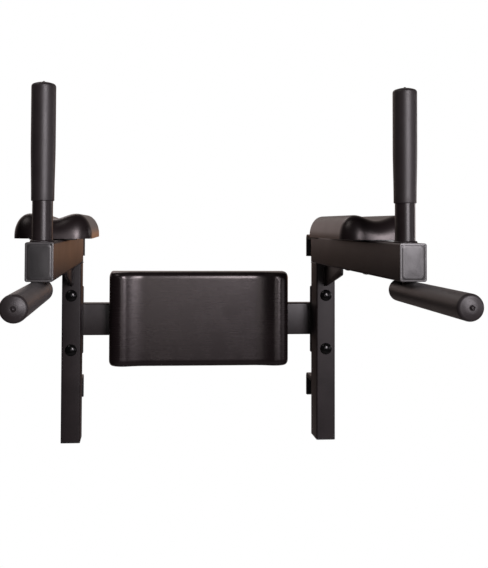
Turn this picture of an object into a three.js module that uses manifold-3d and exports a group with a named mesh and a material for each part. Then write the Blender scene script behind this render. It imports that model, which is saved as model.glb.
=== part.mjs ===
import * as THREE from 'three';
import { mergeVertices } from 'three/addons/utils/BufferGeometryUtils.js';
import Module from 'manifold-3d';

const wasm = await Module();
wasm.setup();

// A dip station that hooks onto the rungs of a wall rack.
// Millimetres, +Z up. The user stands at -Y. The columns' back faces lie in y = 0, against the
// rungs, z = 0 is the top of the upper rung, and x = 0 is the middle plane.

// Rungs that the hooks are made for
const rungHeight = 42;
const rungDepth = 40;
const rungPitch = 310;

// Frame tube, shared by arms and columns
const tubeWidth = 40;
const tubeDepth = 56;
const tubeWall = 2.5;
const tubeCorner = 3;
const armSpacing = 538;
const armLength = 600;
const columnLength = 373;

// Plate in the corner under each arm
const gussetThickness = 5;
const gussetBoltGap = 41;
const gussetClearance = 7;
const gussetLip = 16;
const gussetClip = 9;

// Hooks and their rubber liners
const hookWidth = 40;
const hookThickness = 5;
const hookShort = 4;
const hookLap = 70;
const hookBend = 4;
const linerThickness = 6;
const linerBend = 1;
const rungSlack = 1;

// Plastic caps in the tube ends
const capFlange = 3;
const capFrame = 3.6;
const capGroove = 2.4;
const capGrooveDepth = 1.4;
const capPlug = 12;
const capWall = 2;

// Upright handles and their foam
const handleDiameter = 30;
const handleWall = 2.5;
const handleSetback = 36;
const handleBare = 59;
const weldLeg = 2.5;
const gripLength = 173.5;
const gripThin = 34;
const gripThick = 36;
const gripTaper = 80;
const gripEndWall = 6;
const gripShoulder = 5;
const gripCrown = 2.2;
const nubRadius = 2.4;
const nubHeight = 2;

// Dip bars under the front ends of the arms
const dipOffset = 6;
const dipTail = 45;
const dipGripLength = 271;
const dipGripDiameter = 34.8;
const dipPostDiameter = 20;
const dipPostMargin = 3;
const dipPlugFlange = 3.5;
const dipPlugDepth = 12;
const dipUnderGap = 0.6;

// Arm pads
const padWidth = 126;
const padLength = 284;
const padHeight = 41;
const padTrough = 9;
const padCrest = 37.5;
const padFoot = 6;
const padSquareness = 2;
const padRound = 20;
const padHookGap = 89;
const padPlateMargin = 24;
const padPlateThickness = 2;
const padBoltPitch = 120;

// Crossbar and its end plates
const crossbarHeight = 69;
const crossbarDepth = 30;
const crossbarWall = 2.5;
const crossbarCorner = 3;
const endPlateWidth = 43;
const endPlateMargin = 16;
const endPlateThickness = 5;

// Back pad
const backWidth = 382;
const backHeight = 199;
const backLift = 6;
const backDepth = 54;
const backFace = 332;
const backPanel = 228;
const backDish = 10;
const backCrest = 6;
const backSide = 29;
const backFoot = 9;
const backSquareness = 2;
const backRound = 12;
const endSquareness = 2.2;
const boardThickness = 9;
const boardMargin = 20;
const backBoltPitch = 220;

// Fasteners
const columnBoltDiameter = 10;
const columnBoltOffset = 22;
const columnHeadDiameter = 24.5;
const columnHeadHeight = 8;
const nutHeight = 8;
const nutFlats = 17;
const boltTail = 2;
const padBoltDiameter = 8;
const padHeadDiameter = 15;
const padHeadHeight = 4.5;
const holeClearance = 0.5;
const headRim = 0.8;

// Gap that a piece keeps to a neighbour it is cut by or pushed into
const fitGap = 0.3;

// How finely round shapes are divided
const roundSteps = 24;
const boltSteps = 16;
const shoulderSteps = 3;
const headSteps = 3;
const crestSteps = 5;
const troughSteps = 6;
const endSteps = 4;

// Places worked out from the sizes above
const sideX = armSpacing / 2;
const armTop = linerThickness;
const armUnderside = armTop - tubeDepth;
const armFront = -armLength;
const columnFront = -tubeDepth;
const columnBottom = armUnderside - columnLength;
const hookDrop = rungHeight - hookShort;
const linerFace = rungDepth + rungSlack;
const hookInner = linerFace + linerThickness;
const hookBack = hookInner + hookThickness;
const crossbarZ = -(rungPitch + hookDrop) / 2;
const backZ = crossbarZ + backLift;
const columnBoltPitch = crossbarHeight + 2 * columnBoltOffset;
const topBoltZ = crossbarZ + columnBoltPitch / 2;
const gussetDrop = armUnderside - topBoltZ - columnHeadDiameter / 2 - gussetClearance;
const handleY = armFront + handleSetback;
const gripBase = armTop + handleBare;
const dipZ = armUnderside - dipGripDiameter / 2 - dipUnderGap;
const dipRear = handleY + dipTail;
const padBase = armTop + padPlateThickness;
const padRear = -hookLap - padHookGap;
const padMiddle = padRear - padLength / 2;
const gussetFront = padMiddle + padBoltPitch / 2 + padHeadDiameter / 2 + gussetBoltGap;

const powderCoat = { color: 0x2b292a, roughness: 0.55, metalness: 0.25 };
const blackPlastic = { color: 0x343336, roughness: 0.42, metalness: 0 };
const foam = { color: 0x2f2b2c, roughness: 0.85, metalness: 0 };
const skinFoam = { color: 0x2c2728, roughness: 0.5, metalness: 0 };
const rubber = { color: 0x1c1b1b, roughness: 0.8, metalness: 0 };
const plywood = { color: 0x26211e, roughness: 0.8, metalness: 0 };
const blackBolt = { color: 0x171719, roughness: 0.25, metalness: 0.3 };

// Solids for cutting and joining

function toSolid(geometry) {
  const plain = geometry.clone();
  plain.deleteAttribute('normal');
  plain.deleteAttribute('uv');
  const merged = mergeVertices(plain, 1e-4);
  const index = merged.index.array;
  const triangles = [];
  for (let i = 0; i < index.length; i += 3) {
    const [a, b, c] = [index[i], index[i + 1], index[i + 2]];
    if (a !== b && b !== c && c !== a) {
      triangles.push(a, b, c);
    }
  }
  const vertProperties = new Float32Array(merged.attributes.position.array);
  const triVerts = new Uint32Array(triangles);
  return new wasm.Manifold(new wasm.Mesh({ numProp: 3, vertProperties, triVerts }));
}

function toGeometry(solid) {
  const mesh = solid.getMesh();
  const geometry = new THREE.BufferGeometry();
  geometry.setAttribute('position', new THREE.BufferAttribute(mesh.vertProperties, 3));
  geometry.setIndex(new THREE.BufferAttribute(mesh.triVerts, 1));
  return geometry;
}

function cut(geometry, ...tools) {
  let solid = toSolid(geometry);
  for (const tool of tools) {
    solid = solid.subtract(toSolid(tool));
  }
  return toGeometry(solid);
}

function join(geometry, ...others) {
  let solid = toSolid(geometry);
  for (const other of others) {
    solid = solid.add(toSolid(other));
  }
  return toGeometry(solid);
}

// Prisms: a shape in the plane that its name leaves, drawn out along the named axis

const xAxis = new THREE.Vector3(1, 0, 0);
const yAxis = new THREE.Vector3(0, 1, 0);
const zAxis = new THREE.Vector3(0, 0, 1);

// Turns a geometry so that its own x, y and z run along the three given directions
function facing(geometry, u, v, w) {
  return geometry.applyMatrix4(new THREE.Matrix4().makeBasis(u, v, w));
}

// Each arc in the shape gets twice as many straight pieces as arcSteps says
function prism(shape, length, arcSteps = 1) {
  const options = { depth: length, bevelEnabled: false, curveSegments: arcSteps };
  return new THREE.ExtrudeGeometry(shape, options);
}

// Shape in Y and Z, centred on x = 0
function prismX(shape, length, arcSteps = 1) {
  const geometry = prism(shape, length, arcSteps);
  geometry.translate(0, 0, -length / 2);
  return facing(geometry, yAxis, zAxis, xAxis);
}

// Shape in X and Z, from y = 0 towards -Y
function prismY(shape, length) {
  return facing(prism(shape, length), xAxis, zAxis, yAxis.clone().negate());
}

function rectangle(width, height, radius) {
  const x = width / 2;
  const y = height / 2;
  const shape = new THREE.Shape();
  shape.moveTo(-x + radius, -y);
  shape.lineTo(x - radius, -y);
  shape.absarc(x - radius, -y + radius, radius, -Math.PI / 2, 0, false);
  shape.absarc(x - radius, y - radius, radius, 0, Math.PI / 2, false);
  shape.absarc(-x + radius, y - radius, radius, Math.PI / 2, Math.PI, false);
  shape.absarc(-x + radius, -y + radius, radius, Math.PI, Math.PI * 1.5, false);
  return shape;
}

function hollow(width, height, wall, radius) {
  const shape = rectangle(width, height, radius);
  shape.holes.push(rectangle(width - 2 * wall, height - 2 * wall, Math.max(radius - wall, 0.5)));
  return shape;
}

// Round pieces: [radius, height] pairs turned about Z, given up the outside and down the bore

function turned(profile, steps) {
  const points = profile.map(([radius, height]) => new THREE.Vector2(radius, height));
  const geometry = new THREE.LatheGeometry(points, steps);
  return geometry.rotateX(Math.PI / 2);
}

function rod(diameter, length, steps = boltSteps) {
  const radius = diameter / 2;
  return turned([[0, 0], [radius, 0], [radius, length], [0, length]], steps);
}

// Turn a piece built up along Z so that it points to the user, or to the wall
function towardsUser(geometry) {
  return geometry.rotateX(Math.PI / 2);
}

function towardsWall(geometry) {
  return geometry.rotateX(-Math.PI / 2);
}

function pipe(diameter, wall, length) {
  const outer = diameter / 2;
  const inner = outer - wall;
  return turned([[inner, 0], [outer, 0], [outer, length], [inner, length], [inner, 0]], roundSteps);
}

// Upright tube with a weld bead round its foot
function weldedPipe(diameter, wall, length) {
  const outer = diameter / 2;
  const inner = outer - wall;
  const profile = [
    [inner, 0],
    [outer + weldLeg, 0],
    [outer + weldLeg * 0.4, weldLeg * 0.4],
    [outer, weldLeg],
    [outer, length],
    [inner, length],
    [inner, 0],
  ];
  return turned(profile, roundSteps);
}

// Foam sleeve over the handle tube, with a closed, crowned end that carries a small nub
function foamGrip(rootDiameter, tipDiameter, length) {
  const root = rootDiameter / 2;
  const tip = tipDiameter / 2;
  const inner = handleDiameter / 2 + fitGap;
  const innerEnd = length - gripEndWall;
  const shoulder = length - gripCrown - gripShoulder;
  const profile = [[0, innerEnd], [inner, innerEnd], [inner, 0], [root - 1, 0], [root, 1]];
  profile.push([tip, gripTaper], [tip, shoulder]);
  for (let i = 1; i <= shoulderSteps; i += 1) {
    const angle = (i / shoulderSteps) * (Math.PI / 2);
    const radius = tip - gripShoulder * (1 - Math.cos(angle));
    profile.push([radius, shoulder + gripShoulder * Math.sin(angle)]);
  }
  profile.push([nubRadius, length]);
  profile.push([nubRadius * 0.6, length + nubHeight * 0.85]);
  profile.push([0, length + nubHeight]);
  return turned(profile, roundSteps);
}

// Bolt along +Z: the shank starts at z = 0 and runs up, and the crowned head lies below it
function bolt(diameter, length, headDiameter, headHeight) {
  const head = headDiameter / 2;
  const shank = diameter / 2;
  const profile = [[0, -headHeight]];
  for (let i = 1; i <= headSteps; i += 1) {
    const angle = (i / headSteps) * (Math.PI / 2);
    profile.push([head * Math.sin(angle), -headRim - (headHeight - headRim) * Math.cos(angle)]);
  }
  profile.push([head, 0], [shank, 0], [shank, length - 1], [shank - 1, length], [0, length]);
  return turned(profile, boltSteps);
}

function nut(flats, height, boreDiameter) {
  const corner = flats / Math.sqrt(3);
  const shape = new THREE.Shape();
  for (let i = 0; i < 6; i += 1) {
    const angle = (i / 6) * 2 * Math.PI;
    const point = [corner * Math.cos(angle), corner * Math.sin(angle)];
    if (i === 0) {
      shape.moveTo(...point);
    } else {
      shape.lineTo(...point);
    }
  }
  const bore = new THREE.Path();
  bore.absarc(0, 0, boreDiameter / 2, 0, 2 * Math.PI, true);
  shape.holes.push(bore);
  return new THREE.ExtrudeGeometry(shape, { depth: height, bevelEnabled: false, curveSegments: 9 });
}

// Cap for the end of a rectangular tube. Its flange fills z = 0 to capFlange, and its hollow plug
// hangs below. The flange's face has a raised frame, a groove and a panel.
function tubeCap(width, height, wall, corner) {
  const flange = prism(rectangle(width, height, corner), capFlange);
  const inset = 2 * capFrame;
  const groove = prism(hollow(width - inset, height - inset, capGroove, corner), capGrooveDepth + 1);
  groove.translate(0, 0, capFlange - capGrooveDepth);
  const side = 2 * (wall + fitGap);
  const plug = prism(hollow(width - side, height - side, capWall, capWall), capPlug + 1);
  plug.translate(0, 0, -capPlug);
  return join(cut(flange, groove), plug);
}

// Skin over rings of [u, v, w] points, each ring counter-clockwise seen from +W. Flat fans round
// each end ring's middle close it.
function skin(rings) {
  const count = rings[0].length;
  const positions = rings.flat(2);
  const index = [];
  for (let r = 0; r + 1 < rings.length; r += 1) {
    for (let i = 0; i < count; i += 1) {
      const j = (i + 1) % count;
      const low = r * count;
      const high = low + count;
      index.push(low + i, low + j, high + j, low + i, high + j, high + i);
    }
  }
  const middle = (ring) => [0, 1, 2].map((k) => ring.reduce((sum, p) => sum + p[k], 0) / count);
  const first = positions.length / 3;
  positions.push(...middle(rings[0]), ...middle(rings[rings.length - 1]));
  const top = (rings.length - 1) * count;
  for (let i = 0; i < count; i += 1) {
    const j = (i + 1) % count;
    index.push(first, j, i);
    index.push(first + 1, top + i, top + j);
  }
  const geometry = new THREE.BufferGeometry();
  geometry.setAttribute('position', new THREE.Float32BufferAttribute(positions, 3));
  geometry.setIndex(index);
  return geometry;
}

// Moulded pad: a closed section of [u, v] points, its flat base on v = 0, drawn out along W. The
// section is drawn in towards both ends, so that their edges are round.
function mouldedPad(section, width, height, length, round) {
  const near = quarter(0, round, round, 0, endSquareness, endSteps);
  const middle = [[length / 2, 0]];
  const far = near.map(([w, drawn]) => [length - w, drawn]).reverse();
  const rings = [...near, ...middle, ...far].map(([w, drawn]) => {
    const across = 1 - (2 * drawn) / width;
    const up = 1 - drawn / height;
    return section.map(([u, v]) => [u * across, v * up, w]);
  });
  return skin(rings);
}

// Points of a quarter oval that leaves (u0, v0) along V and meets (u1, v1) along U. A squareness of
// 2 makes it an ellipse, and more makes it squarer.
function quarter(u0, v0, u1, v1, squareness, steps) {
  return Array.from({ length: steps + 1 }, (_, i) => {
    const angle = (i / steps) * (Math.PI / 2);
    const along = 1 - Math.max(Math.cos(angle), 0) ** (2 / squareness);
    const up = Math.sin(angle) ** (2 / squareness);
    return [u0 + (u1 - u0) * along, v0 + (v1 - v0) * up];
  });
}

// Points of a soft slope from (u0, v0) to (u1, v1) that is level at both ends
function slope(u0, v0, u1, v1, steps) {
  return Array.from({ length: steps + 1 }, (_, i) => {
    const down = 0.5 * (1 - Math.cos((Math.PI * i) / steps));
    return [u0 + ((u1 - u0) * i) / steps, v0 + (v1 - v0) * down];
  });
}

// Half of a section, given from the base up to the middle of the top, becomes the whole of it
function mirrored(half) {
  const other = half.filter(([u]) => u > 0.001).map(([u, v]) => [-u, v]).reverse();
  return [...half, ...other];
}

function armPadSection() {
  const edge = padWidth / 2;
  return mirrored([
    [edge - padFoot / 2, 0],
    ...quarter(edge, padFoot, padCrest, padHeight, padSquareness, crestSteps),
    ...slope(padCrest, padHeight, 0, padHeight - padTrough, troughSteps).slice(1),
  ]);
}

function backPadSection() {
  const edge = backWidth / 2;
  const face = backFace / 2;
  const floor = backDepth - backDish;
  return mirrored([
    [edge - backFoot, 0],
    [edge, backFoot],
    ...quarter(edge, backSide, face, backDepth, backSquareness, crestSteps),
    ...slope(face - backCrest, backDepth, backPanel / 2, floor, troughSteps),
    [0, floor],
  ]);
}

// Strap bent over a rung, seen from the side: a flat run that ends at back, then a leg down.
// front and back are in Y, under is the strap's lower face.
function bentStrap(front, back, under, thickness, drop, bend) {
  const shape = new THREE.Shape();
  const top = under + thickness;
  const inner = back - thickness;
  shape.moveTo(front, under);
  shape.lineTo(inner - bend, under);
  shape.absarc(inner - bend, under - bend, bend, Math.PI / 2, 0, true);
  shape.lineTo(inner, -drop);
  shape.lineTo(back, -drop);
  const outer = bend + thickness;
  shape.lineTo(back, top - outer);
  shape.absarc(back - outer, top - outer, outer, 0, Math.PI / 2, false);
  shape.lineTo(front, top);
  return shape;
}

function named(name, geometry, look, x = 0, y = 0, z = 0) {
  const mesh = new THREE.Mesh(geometry, new THREE.MeshStandardMaterial(look));
  mesh.name = name;
  mesh.position.set(x, y, z);
  return mesh;
}

// Pieces of one side, round x = 0 and named for it

function column(side) {
  const foot = columnBottom + capFlange;
  const tube = prism(hollow(tubeWidth, tubeDepth, tubeWall, tubeCorner), columnLength - capFlange);
  const holes = boltHeights().map((z) => {
    const hole = towardsUser(rod(columnBoltDiameter + 2 * holeClearance, 2 * tubeDepth));
    return hole.translate(0, tubeDepth, z - foot);
  });
  return named(`${side}_column`, cut(tube, ...holes), powderCoat, 0, -tubeDepth / 2, foot);
}

function boltHeights() {
  return [1, -1].map((up) => crossbarZ + (up * columnBoltPitch) / 2);
}

function padBoltPlaces() {
  return [-1, 1].map((back) => padMiddle + (back * padBoltPitch) / 2);
}

function arm(side) {
  const tube = prismY(hollow(tubeWidth, tubeDepth, tubeWall, tubeCorner), armLength - 2 * capFlange);
  tube.translate(0, -capFlange, 0);
  const holes = padBoltPlaces().map((y) => {
    const hole = rod(padBoltDiameter + 2 * holeClearance, 2 * tubeDepth);
    return hole.translate(0, y, -tubeDepth);
  });
  return named(`${side}_arm`, cut(tube, ...holes), powderCoat, 0, 0, armTop - tubeDepth / 2);
}

function gusset(side) {
  const shape = new THREE.Shape();
  shape.moveTo(columnFront, armUnderside - gussetClip);
  shape.lineTo(columnFront, armUnderside - gussetDrop);
  shape.lineTo(gussetFront, armUnderside - gussetLip);
  shape.lineTo(gussetFront, armUnderside);
  shape.lineTo(columnFront - gussetClip, armUnderside);
  shape.closePath();
  return named(`${side}_gusset`, prismX(shape, gussetThickness), powderCoat);
}

// Hooks: the upper one lies on the arm, and the lower one stands off the column's back face

function hook(name, front, rungTop) {
  const shape = bentStrap(front, hookBack, linerThickness, hookThickness, hookDrop, hookBend);
  return named(name, prismX(shape, hookWidth, 2), powderCoat, 0, 0, rungTop);
}

function liner(name, rungTop) {
  const bend = Math.max(linerBend, hookBend - linerThickness + fitGap);
  const shape = bentStrap(0, hookInner, 0, linerThickness, hookDrop, bend);
  return named(name, prismX(shape, hookWidth, 2), rubber, 0, 0, rungTop);
}

function frameCap() {
  return tubeCap(tubeWidth, tubeDepth, tubeWall, tubeCorner);
}

function frameCaps(side) {
  const armMiddle = armTop - tubeDepth / 2;
  const front = facing(frameCap(), xAxis, zAxis, yAxis.clone().negate());
  const rear = facing(frameCap(), xAxis.clone().negate(), zAxis, yAxis);
  const foot = facing(frameCap(), xAxis, yAxis.clone().negate(), zAxis.clone().negate());
  return [
    named(`${side}_arm_front_cap`, front, blackPlastic, 0, armFront + capFlange, armMiddle),
    named(`${side}_arm_rear_cap`, rear, blackPlastic, 0, -capFlange, armMiddle),
    named(`${side}_column_foot_cap`, foot, blackPlastic, 0, -tubeDepth / 2, columnBottom + capFlange),
  ];
}

function handle(side) {
  const tubeLength = handleBare + gripLength - gripEndWall - fitGap;
  const tube = weldedPipe(handleDiameter, handleWall, tubeLength);
  const grip = foamGrip(gripThin, gripThick, gripLength);
  return [
    named(`${side}_handle_tube`, tube, powderCoat, 0, handleY, armTop),
    named(`${side}_handle_grip`, grip, foam, 0, handleY, gripBase),
  ];
}

// Dip bar under the arm, its foam, its rear plug and the post that hangs it. outward is -1 or 1.
function dipBar(side, outward) {
  const x = outward * dipOffset;
  const barLength = dipGripLength - gripEndWall - fitGap;
  const bar = towardsUser(pipe(handleDiameter, handleWall, barLength));
  const postHole = rod(dipPostDiameter + 2 * dipPostMargin, dipGripDiameter);
  postHole.translate(0, -dipTail, 0);
  const grip = cut(towardsUser(foamGrip(dipGripDiameter, dipGripDiameter, dipGripLength)), postHole);
  const post = rod(dipPostDiameter, armUnderside - dipZ);
  const saddle = rod(handleDiameter + 2 * fitGap, 4 * dipPostDiameter, roundSteps);
  const saddleCut = towardsUser(saddle).translate(0, 2 * dipPostDiameter, 0);
  return [
    named(`${side}_dip_bar`, bar, powderCoat, x, dipRear, dipZ),
    named(`${side}_dip_grip`, grip, foam, x, dipRear, dipZ),
    named(`${side}_dip_end_plug`, towardsWall(dipPlug()), blackPlastic, x, dipRear, dipZ),
    named(`${side}_dip_post`, cut(post, saddleCut), powderCoat, x, handleY, dipZ),
  ];
}

// Plug for the dip bar's open end: a rounded flange above z = 0 and a skirt below it
function dipPlug() {
  const flange = dipGripDiameter / 2 - 1;
  const skirt = handleDiameter / 2 - handleWall - fitGap;
  const profile = [
    [0, -1],
    [skirt - capWall, -1],
    [skirt - capWall, -dipPlugDepth],
    [skirt, -dipPlugDepth],
    [skirt, 0],
    [flange, 0],
    [flange - dipPlugFlange * 0.3, dipPlugFlange * 0.7],
    [flange - dipPlugFlange, dipPlugFlange],
    [0, dipPlugFlange],
  ];
  return turned(profile, roundSteps);
}

function armPad(side) {
  const pad = mouldedPad(armPadSection(), padWidth, padHeight, padLength, padRound);
  const placed = facing(pad, xAxis, zAxis, yAxis.clone().negate());
  const inset = 2 * padPlateMargin;
  const sheet = prism(rectangle(padWidth - inset, padLength - inset, tubeCorner), padPlateThickness);
  const holes = padBoltPlaces().map((y) => {
    const hole = rod(padBoltDiameter + 2 * holeClearance, 3 * padPlateThickness);
    return hole.translate(0, y - padMiddle, -padPlateThickness);
  });
  return [
    named(`${side}_arm_pad`, placed, skinFoam, 0, padRear, padBase),
    named(`${side}_arm_pad_plate`, cut(sheet, ...holes), powderCoat, 0, padMiddle, armTop),
  ];
}

function padBolts(side) {
  const length = tubeDepth + padPlateThickness - fitGap;
  return padBoltPlaces().map((y, i) => {
    const shape = bolt(padBoltDiameter, length, padHeadDiameter, padHeadHeight);
    return named(`${side}_pad_bolt_${i + 1}`, shape, blackBolt, 0, y, armUnderside);
  });
}

function columnBolts(side) {
  const length = tubeDepth + endPlateThickness + nutHeight + boltTail;
  return boltHeights().flatMap((z, i) => {
    const shape = bolt(columnBoltDiameter, length, columnHeadDiameter, columnHeadHeight);
    const nutShape = nut(nutFlats, nutHeight, columnBoltDiameter + 2 * fitGap);
    const level = ['upper', 'lower'][i];
    return [
      named(`${side}_${level}_column_bolt`, towardsWall(shape), blackBolt, 0, columnFront, z),
      named(`${side}_${level}_nut`, towardsWall(nutShape), blackBolt, 0, endPlateThickness, z),
    ];
  });
}

function endPlate(side) {
  const height = columnBoltPitch + 2 * endPlateMargin;
  const plate = prismY(rectangle(endPlateWidth, height, tubeCorner), endPlateThickness);
  const holes = boltHeights().map((z) => {
    const hole = towardsUser(rod(columnBoltDiameter + 2 * holeClearance, 3 * endPlateThickness));
    return hole.translate(0, endPlateThickness, z - crossbarZ);
  });
  return named(`${side}_end_plate`, cut(plate, ...holes), powderCoat, 0, endPlateThickness, crossbarZ);
}

function sideAssembly(side, outward) {
  const group = new THREE.Group();
  group.position.x = outward * sideX;
  group.add(column(side), arm(side), gusset(side));
  group.add(hook(`${side}_upper_hook`, -hookLap, 0), liner(`${side}_upper_hook_liner`, 0));
  group.add(hook(`${side}_lower_hook`, 0, -rungPitch), liner(`${side}_lower_hook_liner`, -rungPitch));
  group.add(...frameCaps(side), ...handle(side), ...dipBar(side, outward));
  group.add(...armPad(side), ...padBolts(side), ...columnBolts(side), endPlate(side));
  return group;
}

// Pieces between the two sides

function crossbar() {
  const length = armSpacing + endPlateWidth - 2 * capFlange;
  const middle = endPlateThickness + crossbarDepth / 2;
  const shape = hollow(crossbarDepth, crossbarHeight, crossbarWall, crossbarCorner);
  const holes = backBoltPlaces().map((x) => {
    const hole = towardsUser(rod(padBoltDiameter + 2 * holeClearance, 2 * crossbarDepth));
    return hole.translate(x, crossbarDepth, 0);
  });
  const cap = () => tubeCap(crossbarDepth, crossbarHeight, crossbarWall, crossbarCorner);
  const right = facing(cap(), yAxis, zAxis, xAxis);
  const left = facing(cap(), yAxis.clone().negate(), zAxis, xAxis.clone().negate());
  return [
    named('crossbar', cut(prismX(shape, length), ...holes), powderCoat, 0, middle, crossbarZ),
    named('crossbar_right_cap', right, blackPlastic, length / 2, middle, crossbarZ),
    named('crossbar_left_cap', left, blackPlastic, -length / 2, middle, crossbarZ),
  ];
}

function backBoltPlaces() {
  return [-backBoltPitch / 2, backBoltPitch / 2];
}

function backPad() {
  const pad = mouldedPad(backPadSection(), backWidth, backDepth, backHeight, backRound);
  const placed = facing(pad, xAxis, yAxis.clone().negate(), zAxis.clone().negate());
  const inset = 2 * boardMargin;
  const board = prismY(rectangle(backWidth - inset, backHeight - inset, tubeCorner), boardThickness);
  const boardFront = endPlateThickness - boardThickness;
  const holes = backBoltPlaces().map((x) => {
    const hole = towardsUser(rod(padBoltDiameter + 2 * holeClearance, 3 * boardThickness));
    return hole.translate(x, boardThickness, -backLift);
  });
  return [
    named('back_pad', placed, skinFoam, 0, boardFront, backZ + backHeight / 2),
    named('back_pad_board', cut(board, ...holes), plywood, 0, endPlateThickness, backZ),
  ];
}

function backBolts() {
  const length = crossbarDepth + boardThickness - fitGap;
  const back = endPlateThickness + crossbarDepth;
  return backBoltPlaces().map((x, i) => {
    const shape = bolt(padBoltDiameter, length, padHeadDiameter, padHeadHeight);
    const name = `back_pad_${['left', 'right'][i]}_bolt`;
    return named(name, towardsUser(shape), blackBolt, x, back, crossbarZ);
  });
}

const dipStation = new THREE.Group();
dipStation.add(sideAssembly('left', -1), sideAssembly('right', 1));
dipStation.add(...crossbar(), ...backPad(), ...backBolts());

export default dipStation;
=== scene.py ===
from math import copysign, cos, pi, radians, sin, sqrt, tau

import bmesh
import bpy
from mathutils import Matrix, Vector, noise


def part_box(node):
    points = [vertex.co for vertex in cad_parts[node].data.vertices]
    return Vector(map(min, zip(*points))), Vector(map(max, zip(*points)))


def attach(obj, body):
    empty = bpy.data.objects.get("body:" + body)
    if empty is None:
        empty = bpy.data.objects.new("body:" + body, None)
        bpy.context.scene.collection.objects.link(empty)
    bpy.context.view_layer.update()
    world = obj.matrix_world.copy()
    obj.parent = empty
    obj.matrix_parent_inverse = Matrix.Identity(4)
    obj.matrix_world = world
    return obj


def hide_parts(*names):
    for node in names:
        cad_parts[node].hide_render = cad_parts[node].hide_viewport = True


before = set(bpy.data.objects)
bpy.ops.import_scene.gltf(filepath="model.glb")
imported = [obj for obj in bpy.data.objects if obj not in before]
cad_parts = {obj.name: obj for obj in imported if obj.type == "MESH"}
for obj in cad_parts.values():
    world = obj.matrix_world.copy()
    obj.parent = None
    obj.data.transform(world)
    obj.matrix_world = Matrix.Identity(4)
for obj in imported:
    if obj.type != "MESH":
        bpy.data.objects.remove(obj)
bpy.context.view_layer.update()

print("frame loaded,", len(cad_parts), "nodes")

# Shapes are modelled in millimetres, in the frame's own axes, and turned to metres when a piece is made
millimetre = 0.001
sides = ("left", "right")

xAxis = Vector((1, 0, 0))
yAxis = Vector((0, 1, 0))
zAxis = Vector((0, 0, 1))

# Materials: sizes and depths of their patterns are in millimetres


class Wire:
    # one output of a node, which can be used in sums

    def __init__(self, finish, link):
        self.finish = finish
        self.link = link

    def maths(self, operation, first, second):
        return self.finish.node("ShaderNodeMath", {"operation": operation}, {0: first, 1: second})

    def __add__(self, other):
        return self.maths("ADD", self, other)

    def __radd__(self, other):
        return self.maths("ADD", other, self)

    def __sub__(self, other):
        return self.maths("SUBTRACT", self, other)

    def __rsub__(self, other):
        return self.maths("SUBTRACT", other, self)

    def __mul__(self, other):
        return self.maths("MULTIPLY", self, other)

    def __rmul__(self, other):
        return self.maths("MULTIPLY", other, self)


class Finish:
    # a material, or the world, and the few ways in which its nodes are made

    def __init__(self, name, look=None, material=None):
        self.look = look
        self.material = material or bpy.data.materials.new(name)
        self.material.use_nodes = True
        self.tree = self.material.node_tree
        self.tree.nodes.clear()

    def node(self, kind, settings=None, sockets=None, output=0):
        made = self.tree.nodes.new(kind)
        for key, value in (settings or {}).items():
            if key == "stops":
                for stop, place in zip(made.color_ramp.elements, value):
                    stop.position = place
            else:
                setattr(made, key, value)
        for key, value in (sockets or {}).items():
            if isinstance(value, Wire):
                self.tree.links.new(value.link, made.inputs[key])
            else:
                made.inputs[key].default_value = value
        return Wire(self, made.outputs[output]) if len(made.outputs) else made

    def place(self):
        return self.node("ShaderNodeTexCoord", output="Object")

    def stretched(self, scale):
        return self.node("ShaderNodeMapping", sockets={"Vector": self.place(), "Scale": scale})

    def speckle(self, grain, detail=2.0, roughness=0.5, vector=None):
        # noise from 0 to 1 whose blobs are about as large as grain
        return self.node("ShaderNodeTexNoise", sockets={
            "Vector": vector or self.place(), "Scale": 1 / (grain * millimetre), "Detail": detail,
            "Roughness": roughness})

    def cells(self, grain):
        sockets = {"Vector": self.place(), "Scale": 1 / (grain * millimetre)}
        return self.node("ShaderNodeTexVoronoi", {"feature": "F1"}, sockets)

    def bands(self, direction, profile, pitch):
        # waves of that pitch: the node fits 20 of them in tau at a scale of 1
        settings = {"wave_type": "BANDS", "bands_direction": direction, "wave_profile": profile}
        scale = 1 / (pitch * millimetre) / 20 * tau
        return self.node("ShaderNodeTexWave", settings, {"Vector": self.place(), "Scale": scale})

    def edges(self):
        # 1 on tight outward edges and 0 on flats, from the attribute that each piece has
        return self.node("ShaderNodeAttribute", {"attribute_name": "edge"}, output="Fac")

    def ramp(self, value, start, end):
        # 0 up to start and 1 from end
        return self.node("ShaderNodeValToRGB", {"stops": (start, end)}, {"Fac": value})

    def mixed(self, share, first, second):
        sockets = {0: share, 6: first, 7: second}
        return self.node("ShaderNodeMix", {"data_type": "RGBA"}, sockets, output=2)

    def bump(self, height, depth, below=None):
        # height from 0 to 1 stands for depth
        sockets = {"Height": height, "Distance": depth * millimetre, "Strength": 1.0}
        if below is not None:
            sockets["Normal"] = below
        return self.node("ShaderNodeBump", sockets=sockets, output="Normal")

    def toned(self, share):
        # from the look's dark colour to its light one
        return self.mixed(share, self.look["dark"], self.look["light"])

    def surface(self, color, roughness, normal):
        sockets = {"Base Color": color, "Roughness": roughness, "Normal": normal, **self.look["fixed"]}
        shader = self.node("ShaderNodeBsdfPrincipled", sockets=sockets)
        self.node("ShaderNodeOutputMaterial", sockets={"Surface": shader})
        return self.material


def grey(level, warmth=0.0):
    # a neutral colour, or a red-brown one where warmth is above 0
    return (level * (1 + warmth), level, level * (1 + 0.1 * warmth), 1)


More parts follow.
